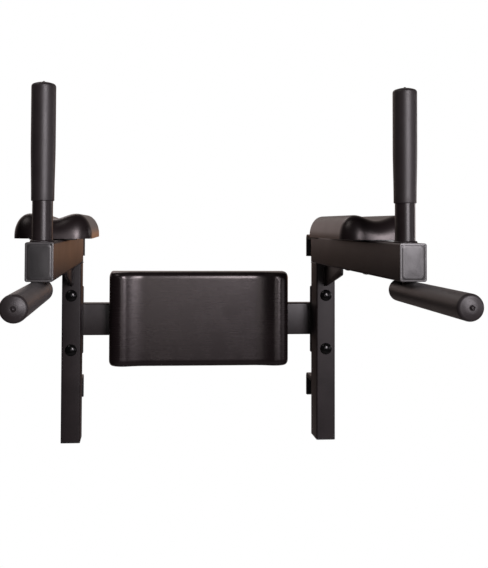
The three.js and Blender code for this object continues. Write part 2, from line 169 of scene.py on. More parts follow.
# in a look, Fade is where a pattern starts and ends, Share its part in the colour, and Rough what it
# adds to the roughness
# the coat's lighter edge grey is partly worn coat and partly a painted edge highlight
barCoatLook = {
    "dark": grey(0.0085, 0.35), "light": grey(0.0135, 0.35), "worn": grey(0.040, 0.15),
    "roughness": 0.26, "fixed": {"Specular IOR Level": 0.4},
    "peel": 2.2, "peelDepth": 0.030,
    "grain": 0.45, "grainDepth": 0.012, "grainRough": 0.08,
    "cloud": 60, "cloudFade": (0.35, 0.7), "cloudRough": 0.10,
    "rub": 9, "rubFade": (0.42, 0.62), "rubAndHighlightShare": 0.5, "edgeSmooth": 0.06,
}
tubeCoatLook = {**barCoatLook, "roughness": 0.33, "fixed": {"Specular IOR Level": 0.25}}


def powderCoat(name, look):
    finish = Finish(name, look)
    cloud = finish.speckle(look["cloud"], detail=3.0)
    grain = finish.speckle(look["grain"], detail=1.0)
    peel = finish.speckle(look["peel"], detail=1.5)
    edge = finish.edges()
    # tight edges are mixed in patches towards a lighter grey: partly worn coat, partly a painted edge
    # highlight
    rubbedAndHighlit = edge * finish.ramp(finish.speckle(look["rub"], detail=4.0), *look["rubFade"])
    coat = finish.toned(finish.ramp(cloud, *look["cloudFade"]))
    color = finish.mixed(rubbedAndHighlit * look["rubAndHighlightShare"], coat, look["worn"])
    roughness = look["roughness"] + cloud * look["cloudRough"] + grain * look["grainRough"]
    normal = finish.bump(peel, look["peelDepth"], below=finish.bump(grain, look["grainDepth"]))
    return finish.surface(color, roughness - edge * look["edgeSmooth"], normal)


# the caps' lighter edge grey is a painted highlight along their tight edges
capLook = {
    "dark": grey(0.012, 0.03), "light": grey(0.018, 0.03), "worn": grey(0.10, 0.03), "wornAndHighlightShare": 0.8,
    "roughness": 0.29, "fixed": {"Specular IOR Level": 0.5},
    "grain": 0.8, "grainDepth": 0.03,
    "cloud": 14, "cloudRough": 0.08,
    "flow": 3.5, "flowDepth": 0.02, "flowRough": 0.06, "edgeSmooth": 0.06,
}


def capPlastic():
    look = capLook
    finish = Finish("grainedBlackPlastic", look)
    grain = finish.cells(look["grain"])
    cloud = finish.speckle(look["cloud"], detail=3.0)
    flow = finish.speckle(look["flow"], detail=2.0)
    edge = finish.edges()
    plastic = finish.toned(cloud)
    # every tight edge is mixed towards a lighter grey: a painted highlight on the frame, the rims and
    # the plug
    color = finish.mixed(edge * look["wornAndHighlightShare"], plastic, look["worn"])
    roughness = look["roughness"] + cloud * look["cloudRough"] + flow * look["flowRough"]
    normal = finish.bump(grain, look["grainDepth"], below=finish.bump(flow, look["flowDepth"]))
    return finish.surface(color, roughness - edge * look["edgeSmooth"], normal)


foamLook = {
    "dark": grey(0.011, 0.25), "light": grey(0.018, 0.25),
    "roughness": 0.36,
    "fixed": {"Specular IOR Level": 0.52, "Sheen Weight": 0.03, "Sheen Roughness": 0.45},
    "pore": 0.9, "poreDepth": 0.07, "poreFade": (0.05, 0.5), "poreShare": 0.3,
    "fine": 0.35, "fineDepth": 0.03, "fineRough": 0.10,
    "cloud": 22, "cloudShare": 0.7, "cloudRough": 0.10,
}


def gripFoam():
    look = foamLook
    finish = Finish("closedCellFoam", look)
    pores = finish.cells(look["pore"])
    fine = finish.speckle(look["fine"], detail=1.0)
    cloud = finish.speckle(look["cloud"], detail=3.0)
    share = cloud * look["cloudShare"] + pores * look["poreShare"]
    color = finish.toned(share)
    roughness = look["roughness"] + cloud * look["cloudRough"] + fine * look["fineRough"]
    pits = finish.ramp(pores, *look["poreFade"])
    normal = finish.bump(pits, look["poreDepth"], below=finish.bump(fine, look["fineDepth"]))
    return finish.surface(color, roughness, normal)


skinLook = {
    "dark": grey(0.0055, 0.40), "light": grey(0.0095, 0.40),
    "roughness": 0.205, "fixed": {"Specular IOR Level": 0.5, "Specular Tint": (1, 0.92, 0.91, 1)},
    "pebble": 1.3, "pebbleDepth": 0.035,
    "fine": 0.5, "fineDepth": 0.015, "fineRough": 0.04,
    "handled": 38, "handledShare": 0.8, "handledRough": 0.06,
    "streak": 2.6, "streakStretch": (0.03, 0.03, 1.0), "streakShare": 0.2, "streakRough": 0.03,
}
armSkinLook = {**skinLook, "roughness": 0.27}


def padSkin(name, look):
    finish = Finish(name, look)
    pebble = finish.cells(look["pebble"])
    fine = finish.speckle(look["fine"], detail=1.0)
    handled = finish.speckle(look["handled"], detail=2.0, roughness=0.4)
    streaks = finish.speckle(look["streak"], vector=finish.stretched(look["streakStretch"]))
    share = handled * look["handledShare"] + streaks * look["streakShare"]
    color = finish.toned(share)
    roughness = look["roughness"] + handled * look["handledRough"] + streaks * look["streakRough"]
    normal = finish.bump(pebble, look["pebbleDepth"], below=finish.bump(fine, look["fineDepth"]))
    return finish.surface(color, roughness + fine * look["fineRough"], normal)


rubberLook = {
    "dark": grey(0.008), "light": grey(0.016),
    "roughness": 0.68, "fixed": {"Specular IOR Level": 0.35},
    "rib": 1.6, "ribDepth": 0.12,
    "fine": 0.6, "fineDepth": 0.04,
    "dust": 7, "dustShare": 0.6, "dustRough": 0.12,
}


def linerRubber():
    look = rubberLook
    finish = Finish("ribbedLinerRubber", look)
    ribs = finish.bands("X", "SIN", look["rib"])
    dust = finish.speckle(look["dust"], detail=4.0)
    color = finish.toned(dust * look["dustShare"])
    fine = finish.bump(finish.speckle(look["fine"]), look["fineDepth"])
    normal = finish.bump(ribs, look["ribDepth"], below=fine)
    return finish.surface(color, look["roughness"] + dust * look["dustRough"], normal)


boardLook = {
    "dark": grey(0.006, 0.3), "light": grey(0.022, 0.5),
    "roughness": 0.6, "fixed": {"Specular IOR Level": 0.4},
    "ply": 1.8, "plyShare": 0.35,
    "fibre": 1.2, "fibreStretch": (0.05, 1.0, 1.0), "fibreShare": 0.5, "fibreDepth": 0.12,
    "fibreRough": 0.15,
}


def padBoard():
    look = boardLook
    finish = Finish("stainedPlywood", look)
    plies = finish.bands("Y", "TRI", 2 * look["ply"])
    fibres = finish.speckle(look["fibre"], detail=5.0, vector=finish.stretched(look["fibreStretch"]))
    share = plies * look["plyShare"] + fibres * look["fibreShare"]
    color = finish.toned(share)
    normal = finish.bump(fibres, look["fibreDepth"])
    return finish.surface(color, look["roughness"] + fibres * look["fibreRough"], normal)


boltLook = {
    "dark": grey(0.0025), "light": grey(0.005), "worn": grey(0.05), "wornAndHighlightShare": 0.5,
    "roughness": 0.12, "fixed": {"Specular IOR Level": 0.3, "Metallic": 0.1},
    "smear": 4, "smearDepth": 0.02, "smearRough": 0.10,
    "fine": 0.4, "fineRough": 0.05,
}


def boltCoat():
    look = boltLook
    finish = Finish("blackenedSteel", look)
    smear = finish.speckle(look["smear"], detail=3.0)
    fine = finish.speckle(look["fine"], detail=1.0)
    coat = finish.toned(smear)
    color = finish.mixed(finish.edges() * smear * look["wornAndHighlightShare"], coat, look["worn"])
    roughness = look["roughness"] + smear * look["smearRough"] + fine * look["fineRough"]
    return finish.surface(color, roughness, finish.bump(smear, look["smearDepth"]))


tubeCoat = powderCoat("tubeCoat", tubeCoatLook)
armSkin = padSkin("armPadSkin", armSkinLook)
finishes = {
    "powder_coat": powderCoat("barCoat", barCoatLook),
    "black_plastic": capPlastic(),
    "grip_foam": gripFoam(),
    "pad_skin": padSkin("backPadSkin", skinLook),
    "liner_rubber": linerRubber(),
    "pad_board": padBoard(),
    "black_fasteners": boltCoat(),
}
print("finishes made:", ", ".join(finishes))

# Making pieces


def nodeBox(node):
    # its lowest corner, its highest corner and its middle
    low, high = (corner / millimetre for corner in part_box(node))
    return low, high, (low + high) / 2


def spans(low, high):
    return [far - near for near, far in zip(low, high)]


def turnedTo(across, up, along, place):
    # takes local X, Y and Z to three directions, and the local origin to a place
    return Matrix.Translation(place) @ Matrix((across, up, along)).transposed().to_4x4()


# each of these gives a node's sizes along local X, Y and Z, and the place from where its form is built


def upward(node):
    low, high, middle = nodeBox(node)
    return spans(low, high), turnedTo(xAxis, yAxis, zAxis, (middle.x, middle.y, low.z))


def forward(node):
    low, high, middle = nodeBox(node)
    x, y, z = spans(low, high)
    return (x, z, y), turnedTo(xAxis, zAxis, -yAxis, (middle.x, high.y, middle.z))


def rightward(node):
    low, high, middle = nodeBox(node)
    x, y, z = spans(low, high)
    return (y, z, x), turnedTo(yAxis, zAxis, xAxis, (low.x, middle.y, middle.z))


def setEdgeCurve(shape, radius):
    # marks how tightly the surface curves outward, from 0 on flats to 1 on edges of that radius
    shortest = 1e-6
    narrowest = 1e-3
    # finishes lighten these edges: a painted highlight on the caps, partly wear and partly a painted
    # highlight on the coat, wear on the bolts
    layer = shape.verts.layers.float.new("edge")
    for edge in shape.edges:
        if len(edge.link_faces) != 2:
            continue
        angle = edge.calc_face_angle_signed(0.0)
        area = sum(face.calc_area() for face in edge.link_faces) / 2
        reach = area / max(edge.calc_length(), shortest)
        curve = min(1.0, max(0.0, angle * radius / max(reach, narrowest)))
        for corner in edge.verts:
            corner[layer] = max(corner[layer], curve)


def addObject(name, data):
    made = bpy.data.objects.new(name, data)
    bpy.context.scene.collection.objects.link(made)
    return made


def addShape(name, shape, unit=millimetre):
    # a mesh object from a shape, which is used up
    bmesh.ops.scale(shape, vec=(unit,) * 3, verts=shape.verts)
    mesh = bpy.data.meshes.new(name)
    shape.to_mesh(mesh)
    shape.free()
    return addObject(name, mesh)


def finalMesh(made):
    # of an object with its modifiers, or of a curve
    return bpy.data.meshes.new_from_object(made.evaluated_get(bpy.context.evaluated_depsgraph_get()))


def settle(piece, slot, finish=None):
    piece.data.materials.clear()
    piece.data.materials.append(finish or finishes[slot])
    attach(piece, "root")


def makePiece(node, shape, slot, place=None, ending="", sharpAngle=32, edgeRadius=1.2, finish=None):
    # in place of one node, and named after it
    if place is not None:
        bmesh.ops.transform(shape, matrix=place, verts=shape.verts)
    bmesh.ops.recalc_face_normals(shape, faces=shape.faces)
    for face in shape.faces:
        face.smooth = True
    for edge in shape.edges:
        edge.smooth = edge.calc_face_angle(0.0) < radians(sharpAngle)
    setEdgeCurve(shape, edgeRadius)
    first, *rest = node.split("_")
    piece = addShape(first + "".join(word.title() for word in rest) + ending, shape)
    settle(piece, slot, finish)
    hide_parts(node)
    return piece


def vertsOf(geometry):
    return [item for item in geometry if isinstance(item, bmesh.types.BMVert)]


def edgesOf(geometry):
    return [item for item in geometry if isinstance(item, bmesh.types.BMEdge)]


def bevel(shape, geometry, offset, steps, affect):
    bmesh.ops.bevel(
        shape, geom=geometry, offset=offset, offset_type="OFFSET", segments=steps, profile=0.5,
        affect=affect, material=-1)


def thicken(shape, vector, edge):
    # draws a flat shape out and rounds the rims of its two faces
    made = bmesh.ops.extrude_face_region(shape, geom=shape.faces[:])
    bmesh.ops.translate(shape, vec=vector, verts=vertsOf(made["geom"]))
    way = Vector(vector).normalized()
    rims = [rim for rim in shape.edges if abs((rim.verts[0].co - rim.verts[1].co).dot(way)) < 1e-4]
    bevel(shape, rims, edge, 2, "EDGES")


class Outline:
    # a rectangle with round corners in local XY, which can be drawn out, reshaped, bent and closed

    def __init__(self, shape, width, height, corner, steps=6, level=0.0):
        self.shape = shape
        self.size = (width, height, corner)
        made = bmesh.ops.create_grid(shape, x_segments=1, y_segments=1, size=0.5)
        bmesh.ops.scale(shape, vec=(width, height, 1), verts=made["verts"])
        bmesh.ops.translate(shape, vec=(0, 0, level), verts=made["verts"])
        bevel(shape, made["verts"], corner, steps, "VERTICES")
        self.verts = [v for v in shape.verts if len(v.link_faces) == 1 and abs(v.co.z - level) < 1e-6]
        self.base = self.verts[0].link_faces[0]
        self.edges = list(self.base.edges)

    def drawOut(self):
        made = bmesh.ops.extrude_edge_only(self.shape, edges=self.edges)
        self.verts = vertsOf(made["geom"])
        self.edges = edgesOf(made["geom"])

    def to(self, level, *size):
        # draws the outline out to a level, with a new width, height and corner where they are given
        self.drawOut()
        oldWidth, oldHeight, oldCorner = self.size
        width, height, corner = self.size = size or self.size
        for vert in self.verts:
            signX = copysign(1, vert.co.x)
            signY = copysign(1, vert.co.y)
            dx = (vert.co.x - signX * (oldWidth / 2 - oldCorner)) / oldCorner
            dy = (vert.co.y - signY * (oldHeight / 2 - oldCorner)) / oldCorner
            vert.co.x = signX * (width / 2 - corner) + dx * corner
            vert.co.y = signY * (height / 2 - corner) + dy * corner
            vert.co.z = level

    def along(self, vector):
        self.drawOut()
        bmesh.ops.translate(self.shape, vec=vector, verts=self.verts)

    def bend(self, centre, axis, angle, steps):
        made = bmesh.ops.spin(
            self.shape, geom=self.verts + self.edges, cent=centre, axis=axis, angle=angle, steps=steps,
            use_duplicate=False)
        self.verts = vertsOf(made["geom_last"])
        self.edges = edgesOf(made["geom_last"])

    def close(self):
        bmesh.ops.contextual_create(self.shape, geom=self.edges)


def arc(centre, radius, start, end, steps):
    # points of an arc in a turned profile, angles in degrees from outward towards up
    angles = [radians(start + (end - start) * i / steps) for i in range(steps + 1)]
    return [(centre[0] + radius * cos(a), centre[1] + radius * sin(a)) for a in angles]


def shares(steps):
    # from one step's share up to 1
    return [i / steps for i in range(1, steps + 1)]


def turned(profile, steps=72):
    # spins a profile of (radius, height) points, which ends on the axis or closes on itself
    shape = bmesh.new()
    verts = [shape.verts.new((radius, 0, height)) for radius, height in profile]
    edges = [shape.edges.new(pair) for pair in zip(verts, verts[1:])]
    bmesh.ops.spin(
        shape, geom=verts + edges, cent=(0, 0, 0), axis=(0, 0, 1), angle=tau, steps=steps,
        use_merge=True)
    bmesh.ops.remove_doubles(shape, verts=shape.verts, dist=1e-4)
    return shape


# Frame tubes: columns, arms and crossbar

tubeLook = {"wall": 2.5, "corner": 3.2, "cornerSteps": 6, "rim": 0.35}


def tubeShape(width, height, length):
    look = tubeLook
    rim = look["rim"]
    wall = look["wall"]
    corner = look["corner"]
    outer = (width - 2 * rim, height - 2 * rim, corner - rim)
    inner = (width - 2 * wall, height - 2 * wall, corner - wall)
    shape = bmesh.new()
    outline = Outline(shape, width, height, corner, look["cornerSteps"])
    bmesh.ops.delete(shape, geom=[outline.base], context="FACES_ONLY")
    # up the outside, over the rim, down the bore and round the first rim
    start = outline.edges[:]
    outline.to(length - 2 * rim)
    outline.to(length - rim, *outer)
    outline.to(length - rim, *inner)
    outline.to(-rim, *inner)
    outline.to(-rim, *outer)
    bmesh.ops.bridge_loops(shape, edges=start + outline.edges)
    bmesh.ops.translate(shape, vec=(0, 0, rim), verts=shape.verts)
    return shape


def makeTube(node, built, finish=None):
    sizes, place = built(node)
    makePiece(node, tubeShape(*sizes), "powder_coat", place, ending="Tube", finish=finish)


for side in sides:
    makeTube(f"{side}_column", upward, tubeCoat)
    makeTube(f"{side}_arm", forward, tubeCoat)
makeTube("crossbar", rightward)
print("frame tubes made")

# Plastic caps in the tube ends: a plug, and a flange with a raised frame, a groove and a pillow

capShape = {
    "flange": 3.0, "corner": 3.2,
    "edge": 0.6, "edgeShares": (0.35, 0.7, 1.0),
    "ridge": 1.7, "ridgeDrop": 0.25, "ridgeSlope": 0.3,
    "groove": 3.1, "grooveDepth": 0.6, "grooveCorner": 4.5, "grooveFloor": 0.4,
    "pillow": 5.8, "pillowCorner": 6.0, "pillowSteps": 8, "pillowSwell": 0.8,
    "crown": 0.5, "crownShares": (0.35, 0.7, 0.93), "crownCorner": 0.9,
    "plug": 12.0, "plugGap": 2.8, "plugCorner": 2.0, "plugChamfer": 1.5, "plugSeat": 0.05,
}


def flangeShape(shape, width, height):
    look = capShape
    flange = look["flange"]
    corner = look["corner"]
    edge = look["edge"]
    outline = Outline(shape, width, height, corner)

    def inward(level, distance, newCorner):
        outline.to(level, width - 2 * distance, height - 2 * distance, newCorner)

    outline.to(flange - edge)
    for share in look["edgeShares"]:
        drawn = edge * (1 - sqrt(1 - share * share))
        inward(flange - edge + edge * share, drawn, corner - drawn)
    ridge = edge + look["ridge"]
    inward(flange, ridge, corner - edge)
    inward(flange - look["ridgeDrop"], ridge + look["ridgeSlope"], corner - edge)
    floor = flange - look["grooveDepth"]
    groove = look["groove"]
    pillow = look["pillow"]
    inward(floor, groove - look["grooveFloor"], corner)
    inward(floor, groove, look["grooveCorner"])
    for share in shares(look["pillowSteps"]):
        rise = sin(share * pi / 2) ** look["pillowSwell"]
        newCorner = look["grooveCorner"] + (look["pillowCorner"] - look["grooveCorner"]) * share
        inward(floor + (flange - floor) * rise, groove + (pillow - groove) * share, newCorner)
    reach = min(width, height) / 2
    for share in look["crownShares"]:
        drawn = pillow + (reach - pillow) * share
        newCorner = min(look["pillowCorner"], (reach - drawn) * look["crownCorner"])
        inward(flange + look["crown"] * share * (2 - share), drawn, newCorner)
    outline.close()


def plugShape(shape, width, height):
    look = capShape
    chamfer = look["plugChamfer"]
    plug = Outline(shape, width, height, look["plugCorner"], level=-look["plugSeat"])
    plug.to(chamfer - look["plug"])
    plug.to(-look["plug"], width - chamfer, height - chamfer, chamfer)
    plug.close()


def makeCap(node, across, up, along):
    # along points out of the tube, and the flange lies in the last few millimetres that way
    low, high, middle = nodeBox(node)
    reach = max(abs((high - middle).dot(along)), abs((low - middle).dot(along)))
    place = turnedTo(across, up, along, middle + along * (reach - capShape["flange"]))
    width = abs((high - low).dot(across))
    height = abs((high - low).dot(up))
    gap = 2 * capShape["plugGap"]
    shape = bmesh.new()
    flangeShape(shape, width, height)
    plugShape(shape, width - gap, height - gap)
    makePiece(node, shape, "black_plastic", place)


for side in sides:
    makeCap(f"{side}_arm_front_cap", xAxis, zAxis, -yAxis)
    makeCap(f"{side}_arm_rear_cap", -xAxis, zAxis, yAxis)
    makeCap(f"{side}_column_foot_cap", xAxis, -yAxis, -zAxis)
makeCap("crossbar_right_cap", yAxis, zAxis, xAxis)
makeCap("crossbar_left_cap", -yAxis, zAxis, -xAxis)
print("tube caps made")

# Plates: gussets, end plates, pad plates and the back pad's board

plateLook = {"corner": 3.0, "edge": 0.5, "boardEdge": 0.8}


def makePlate(node, slot, edge, built):
    (width, height, thickness), place = built(node)
    corner = plateLook["corner"]
    face = (width - 2 * edge, height - 2 * edge, corner - edge)
    shape = bmesh.new()
    outline = Outline(shape, *face)
    outline.to(edge, width, height, corner)
    outline.to(thickness - edge)
    outline.to(thickness, *face)
    outline.close()
    makePiece(node, shape, slot, place)


gussetLook = {"clip": 9.0, "lip": 16.0, "nose": 5.0, "noseSteps": 5, "edge": 0.6}


def makeGusset(node):
    look = gussetLook
    low, high, _ = nodeBox(node)
    clipped = high.z - look["clip"]
    corners = [
        (high.y, clipped),
        (high.y, low.z),
        (low.y, high.z - look["lip"]),
        (low.y, high.z),
        (high.y - look["clip"], high.z),
    ]
    shape = bmesh.new()
    flat = shape.faces.new([shape.verts.new((low.x, y, z)) for y, z in corners])
    tips = [vert for vert in flat.verts if vert.co.z < clipped - 1]
    bevel(shape, tips, look["nose"], look["noseSteps"], "VERTICES")
    thicken(shape, (high.x - low.x, 0, 0), look["edge"])
    makePiece(node, shape, "powder_coat", finish=tubeCoat)


for side in sides:
    makeGusset(f"{side}_gusset")
    makePlate(f"{side}_end_plate", "powder_coat", plateLook["edge"], forward)
    makePlate(f"{side}_arm_pad_plate", "powder_coat", plateLook["edge"], upward)
makePlate("back_pad_board", "pad_board", plateLook["boardEdge"], forward)
print("plates made")

# Hooks and their liners: a flat run, a bend and a leg down

strapLook = {
    "hookBend": 9.0, "linerBend": 7.0, "bendSteps": 10,
    "edge": 0.7, "edgeSteps": 3,
    "hookPitch": 310,
}


def strapThickness(node):
    # the liner's own thickness, or what the hook adds above its liner
    top = nodeBox(node)[1].z
    if node.endswith("liner"):
        pitch = strapLook["hookPitch"]
        return top - round(top / pitch) * pitch
    return top - nodeBox(f"{node}_liner")[1].z


def makeStrap(node, slot, bend):
    look = strapLook
    low, high, middle = nodeBox(node)
    thickness = strapThickness(node)
    under = high.z - thickness
    shape = bmesh.new()
    strap = Outline(shape, high.x - low.x, thickness, look["edge"], look["edgeSteps"])
    # the outline's width lies along X, and its thickness is measured up from the lower face
    upright = turnedTo(-xAxis, zAxis, yAxis, (0, low.y, under + thickness / 2))
    bmesh.ops.transform(shape, matrix=upright, verts=shape.verts)
    strap.along((0, high.y - bend - low.y, 0))
    centre = (0, high.y - bend, under + thickness - bend)
    strap.bend(centre, (-1, 0, 0), pi / 2, look["bendSteps"])
    strap.along((0, 0, low.z - centre[2]))
    strap.close()
    bmesh.ops.translate(shape, vec=(middle.x, 0, 0), verts=shape.verts)
    makePiece(node, shape, slot)


for side in sides:
    for hook in (f"{side}_upper_hook", f"{side}_lower_hook"):
        makeStrap(hook, "powder_coat", strapLook["hookBend"])
        makeStrap(f"{hook}_liner", "liner_rubber", strapLook["linerBend"])
print("hooks and liners made")

# Upright handles, dip bars and their foam

gripLook = {
    "bareGap": 0.3, "slimmer": 1.2, "wear": 0.4,
    "footRound": 1.2,
    "taper": 85.0, "taperSteps": 8,
    "bodySteps": 10,
    "shoulder": 5.0,
    "crown": 2.0, "crownSteps": 6,
    "dimple": 3.8, "dimpleDepth": 1.2, "dimpleRound": (0.4, 0.25), "dimpleWall": (0.7, 0.3),
    "nub": 2.2, "nubHeight": 2.0, "nubFillet": 0.4,
    "endWall": 6.0,
}


def gripShape(bore, root, tip, length):
    # foam sleeve along +Z: its open end at 0, its closed end crowned at length, with a nub in a dimple
    look = gripLook
    foot = look["footRound"]
    taper = look["taper"]
    innerEnd = length - look["endWall"]
    shoulder = length - look["crown"] - look["shoulder"]
    profile = [(0, innerEnd), (bore, innerEnd), (bore, 0)]
    profile += arc((root - foot, foot), foot, -90, 0, 5)
    for share in shares(look["taperSteps"]):
        ease = share * share * (3 - 2 * share)
        profile.append((root + (tip - root) * ease, foot + (taper - foot) * share))
    steps = look["bodySteps"]
    profile += [(tip, taper + (shoulder - taper) * i / steps) for i in range(1, steps)]
    profile += arc((tip - look["shoulder"], shoulder), look["shoulder"], 0, 80, 8)
    rimRadius, rimHeight = profile[-1]
    dimple = look["dimple"]
    for share in shares(look["crownSteps"]):
        radius = rimRadius + (dimple - rimRadius) * share
        profile.append((radius, rimHeight + (length - rimHeight) * sin(share * pi / 2)))
    low = length - look["dimpleDepth"]
    nub = look["nub"]
    fillet = look["nubFillet"]
    roundIn, roundDown = look["dimpleRound"]
    wallIn, wallUp = look["dimpleWall"]
    profile += [(dimple - roundIn, length - roundDown), (dimple - wallIn, low + wallUp)]
    profile += [(nub + fillet, low), (nub, low + fillet)]
    profile += arc((0, length + look["nubHeight"] - nub), nub, 0, 90, 9)
    return turned(profile)


def barRadius(side):
    # of the handle's tube too, whose own box holds the bead at its foot
    low, high, _ = nodeBox(f"{side}_dip_bar")
    return (high.x - low.x) / 2


def makeGrip(side, node, built, slimmer=0.0):
    # slimmer is what the sleeve's root lacks in radius
    look = gripLook
    (width, _, length), place = built(node)
    tip = width / 2
    shape = gripShape(barRadius(side) + look["bareGap"], tip - slimmer, tip, length - look["nubHeight"])
    return makePiece(node, shape, "grip_foam", place, edgeRadius=look["wear"])


barLook = {"wall": 2.5, "rim": 0.5}


def makeBar(side, node, built):
    (_, _, length), place = built(node)
    radius = barRadius(side)
    inner = radius - barLook["wall"]
    rim = barLook["rim"]
    profile = [(inner, 0), (radius, 0), (radius, length - rim), (radius - rim, length), (inner, length)]
    makePiece(node, turned(profile + profile[:1]), "powder_coat", place)


postLook = {"foamGap": 3.0, "drill": 40, "foot": 2.5}


def cutPostHole(piece, side):
    # the foam is cut away round the post
    low, high, middle = nodeBox(f"{side}_dip_post")
    radius = (high.x - low.x) / 2 + postLook["foamGap"]
    depth = postLook["drill"]
    level = nodeBox(f"{side}_dip_grip")[2].z + depth / 2
    drill = bmesh.new()
    bmesh.ops.create_cone(
        drill, cap_ends=True, segments=48, radius1=radius, radius2=radius, depth=depth,
        matrix=Matrix.Translation((middle.x, middle.y, level)))
    cutter = addShape("drill", drill)
    hole = piece.modifiers.new("hole", "BOOLEAN")
    hole.operation = "DIFFERENCE"
    hole.solver = "EXACT"
    hole.object = cutter
    mesh = finalMesh(piece)
    piece.modifiers.clear()
    piece.data = mesh
    bpy.data.objects.remove(cutter)


def makeDipPost(node):
    # its foot reaches into the bar's wall
    (width, _, height), place = upward(node)
    radius = width / 2
    foot = -postLook["foot"]
    shape = turned([(0, foot), (radius, foot), (radius, height), (0, height)], 48)
    makePiece(node, shape, "powder_coat", place)


plugLook = {
    "gap": 0.3, "chamfer": 0.8,
    "rim": 0.3, "edge": 1.6, "edgeArc": 75,
    "dome": 0.1, "domeShares": (0.6, 0.3),
}


def makeDipPlug(side):
    look = plugLook
    node = f"{side}_dip_end_plug"
    low, high, middle = nodeBox(node)
    flange = (high.x - low.x) / 2
    thickness = high.y - nodeBox(f"{side}_dip_bar")[1].y
    skirt = barRadius(side) - barLook["wall"] - look["gap"]
    depth = high.y - low.y - thickness
    edge = look["edge"]
    chamfer = look["chamfer"]
    outer, inner = look["domeShares"]
    profile = [(0, -depth), (skirt - chamfer, -depth), (skirt, -depth + chamfer), (skirt, 0)]
    profile += [(flange - look["rim"], 0), (flange, look["rim"])]
    profile += arc((flange - edge, thickness - edge), edge, 0, look["edgeArc"], 6)
    profile += [(flange * outer, thickness - look["dome"]), (flange * inner, thickness), (0, thickness)]
    place = turnedTo(xAxis, -zAxis, yAxis, (middle.x, high.y - thickness, middle.z))
    makePiece(node, turned(profile), "black_plastic", place)


for side in sides:
    makeGrip(side, f"{side}_handle_grip", upward, gripLook["slimmer"])
    makeBar(side, f"{side}_handle_tube", upward)
    cutPostHole(makeGrip(side, f"{side}_dip_grip", forward), side)
    makeBar(side, f"{side}_dip_bar", forward)
    makeDipPost(f"{side}_dip_post")
    makeDipPlug(side)
print("handles and dip bars made")

# Bolts and nuts

boltShapes = {
    "column": {"head": 8.0, "shank": 5.0},
    "pad": {"head": 4.5, "shank": 4.0},
    "rim": 0.9, "underRim": 0.25, "domeSteps": 9,
    "chamfer": 0.9,
    "thread": 1.25, "threadDepth": 0.45, "threadLength": 13.0, "rootAt": 0.35, "crestAt": 0.8,
    "sharpAngle": 40, "wear": 0.5,
}


def boltShape(headRadius, headHeight, shank, length):
    # the head lies below 0 and the shank runs up
    look = boltShapes
    rim = look["rim"]
    under = look["underRim"]
    dome = headHeight - rim
    profile = [(0, -headHeight)]
    for share in shares(look["domeSteps"]):
        angle = share * pi / 2
        profile.append((headRadius * sin(angle), -rim - dome * cos(angle)))
    threadStart = length - look["threadLength"]
    profile += [(headRadius, -under), (headRadius - under, 0), (shank, 0), (shank, threadStart)]
    thread = look["thread"]
    for i in range(int((look["threadLength"] - look["chamfer"]) / thread)):
        base = threadStart + i * thread
        profile.append((shank - look["threadDepth"], base + thread * look["rootAt"]))
        profile.append((shank, base + thread * look["crestAt"]))
    profile += [(shank - look["chamfer"], length), (0, length)]
    return turned(profile, 48)


def makeBolt(node, kind, along):
    # along points from the head to the tail
    look = boltShapes
    low, high, middle = nodeBox(node)
    lying = abs(along.z) < 0.5
    headRadius = abs((high - low).dot(along.cross(zAxis if lying else xAxis))) / 2
    total = abs((high - low).dot(along))
    head = look[kind]["head"]
    shape = boltShape(headRadius, head, look[kind]["shank"], total - head)
    side = zAxis if lying else yAxis
    place = turnedTo(side.cross(along), side, along, middle - along * (total / 2 - head))
    makePiece(
        node, shape, "black_fasteners", place, sharpAngle=look["sharpAngle"], edgeRadius=look["wear"])


nutLook = {"chamfer": 0.8, "wear": 0.6}


def makeNut(node):
    low, high, middle = nodeBox(node)
    flats = min(high.x - low.x, high.z - low.z)
    shape = bmesh.new()
    bmesh.ops.create_circle(shape, cap_ends=True, segments=6, radius=flats / sqrt(3))
    thicken(shape, (0, 0, high.y - low.y), nutLook["chamfer"])
    place = turnedTo(xAxis, -zAxis, yAxis, (middle.x, low.y, middle.z))
    makePiece(node, shape, "black_fasteners", place, edgeRadius=nutLook["wear"])


for side in sides:
    for level in ("upper", "lower"):
        makeBolt(f"{side}_{level}_column_bolt", "column", yAxis)
        makeNut(f"{side}_{level}_nut")
    makeBolt(f"{side}_pad_bolt_1", "pad", zAxis)
    makeBolt(f"{side}_pad_bolt_2", "pad", zAxis)
    makeBolt(f"back_pad_{side}_bolt", "pad", -yAxis)
print("bolts and nuts made")

# Weld beads

beadRadii = {
    "Handle": 2.2, "Corner": 2.4, "Seam": 1.3, "UpperHook": 2.2, "LowerHook": 2.4, "DipPost": 1.2,
    "Crossbar": 2.2,
}
# a bead stands proud of the faces that it joins, and its ends keep an inset or a gap from theirs
beadLook = {
    "pitch": 1.5, "samples": 4, "ripple": 0.16, "wobble": 0.06, "wobbleScale": 0.15, "startSize": 0.35,
    "proud": 0.4, "cornerProud": 0.5, "handleProud": (0.8, 0.6), "hookDown": 1.0, "postDown": 0.5,
    "inset": 3, "shortInset": 2, "gap": 1,
}


